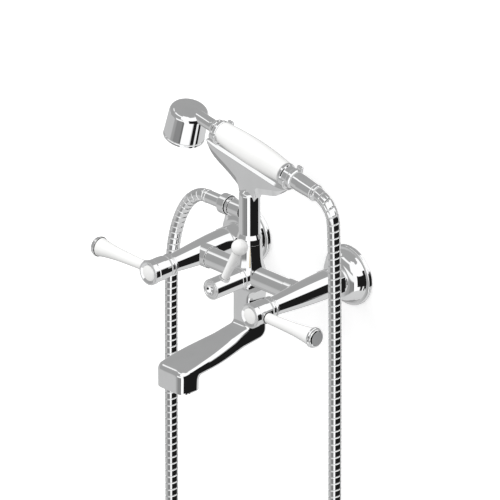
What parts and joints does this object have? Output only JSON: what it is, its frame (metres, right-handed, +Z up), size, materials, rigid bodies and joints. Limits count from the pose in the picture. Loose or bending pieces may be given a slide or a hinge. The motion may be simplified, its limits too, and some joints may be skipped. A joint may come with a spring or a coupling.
{
  "type": "wall mounted bath faucet",
  "caption": "Wall mounted bath mixer with porcelain lever handles, a lever diverter, a fixed downturned spout and a telephone hand shower on a metal hose, resting in a cradle.",
  "frame": {"origin": "on the wall face, midway between the two wall unions, at the height of the valve axes", "axes": "+X along the wall to the right as seen by the user, +Y into the wall (the mixer stands out along -Y), +Z up"},
  "size_m": [0.3276, 0.211, 0.7461],
  "materials": {
    "chrome": "polished chrome plate",
    "hose_chrome": "chromed double lock spiral",
    "porcelain": "white glaze",
    "brass": "machined, unplated",
    "steel": "plain stainless",
    "rubber": "matte",
    "aerator_plastic": "moulded"
  },
  "bodies": {
    "mixer": {"wall_union_left": "brass", "wall_union_right": "brass", "wall_flange_left": "chrome", "wall_flange_right": "chrome", "union_nut_left": "chrome", "union_nut_right": "chrome", "inlet_washer_left": "rubber", "inlet_washer_right": "rubber", "valve_body_left": "chrome", "valve_body_right": "chrome", "valve_cartridge_left": "brass", "valve_cartridge_right": "brass", "valve_collar_left": "chrome", "valve_collar_right": "chrome", "centre_body": "chrome", "diverter_cartridge": "brass", "spout": "chrome", "aerator_housing": "chrome", "aerator_insert": "aerator_plastic", "aerator_washer": "rubber", "riser_base": "chrome", "riser_nipple": "brass", "cradle": "chrome", "cradle_fork_front": "chrome", "cradle_fork_back": "chrome", "hose_outlet": "chrome", "body_hose_washer": "rubber", "body_hose_nut": "chrome", "body_hose_sleeve": "chrome", "hose_from_body": "hose_chrome"},
    "left_handle": {"valve_spindle_left": "brass", "handle_hub_left": "chrome", "index_disc_left": "porcelain", "handle_screw_left": "steel", "lever_rod_left": "steel", "lever_grip_left": "porcelain", "lever_cap_left": "chrome"},
    "right_handle": {"valve_spindle_right": "brass", "handle_hub_right": "chrome", "index_disc_right": "porcelain", "handle_screw_right": "steel", "lever_rod_right": "steel", "lever_grip_right": "porcelain", "lever_cap_right": "chrome"},
    "diverter": {"diverter_spindle": "brass", "diverter_knob": "chrome", "diverter_cap": "chrome", "diverter_lever_ring": "chrome", "diverter_lever": "porcelain"},
    "handset": {"shower_head": "chrome", "spray_plate": "chrome", "handset_neck": "chrome", "handset_grip": "porcelain", "handset_tube": "brass", "handset_tail": "chrome", "handset_hose_nut": "chrome", "handset_hose_washer": "rubber", "hose_to_handset": "hose_chrome"}
  },
  "joints": [
    {"name": "left_handle_turn", "type": "hinge", "parent": "mixer", "child": "left_handle", "pos_m": [-0.075, 0, 0], "axis": [0, 1, 0], "range_deg": [0, 90]},
    {"name": "right_handle_turn", "type": "hinge", "parent": "mixer", "child": "right_handle", "pos_m": [0.075, 0, 0], "axis": [0, -1, 0], "range_deg": [0, 90]},
    {"name": "diverter_turn", "type": "hinge", "parent": "mixer", "child": "diverter", "pos_m": [0, 0, 0], "axis": [0, 1, 0], "range_deg": [-50, 0]},
    {"name": "handset_lift", "type": "slide", "parent": "mixer", "child": "handset", "axis": [0.1822, 0, 0.9833], "range_m": [0, 0.12]}
  ]
}
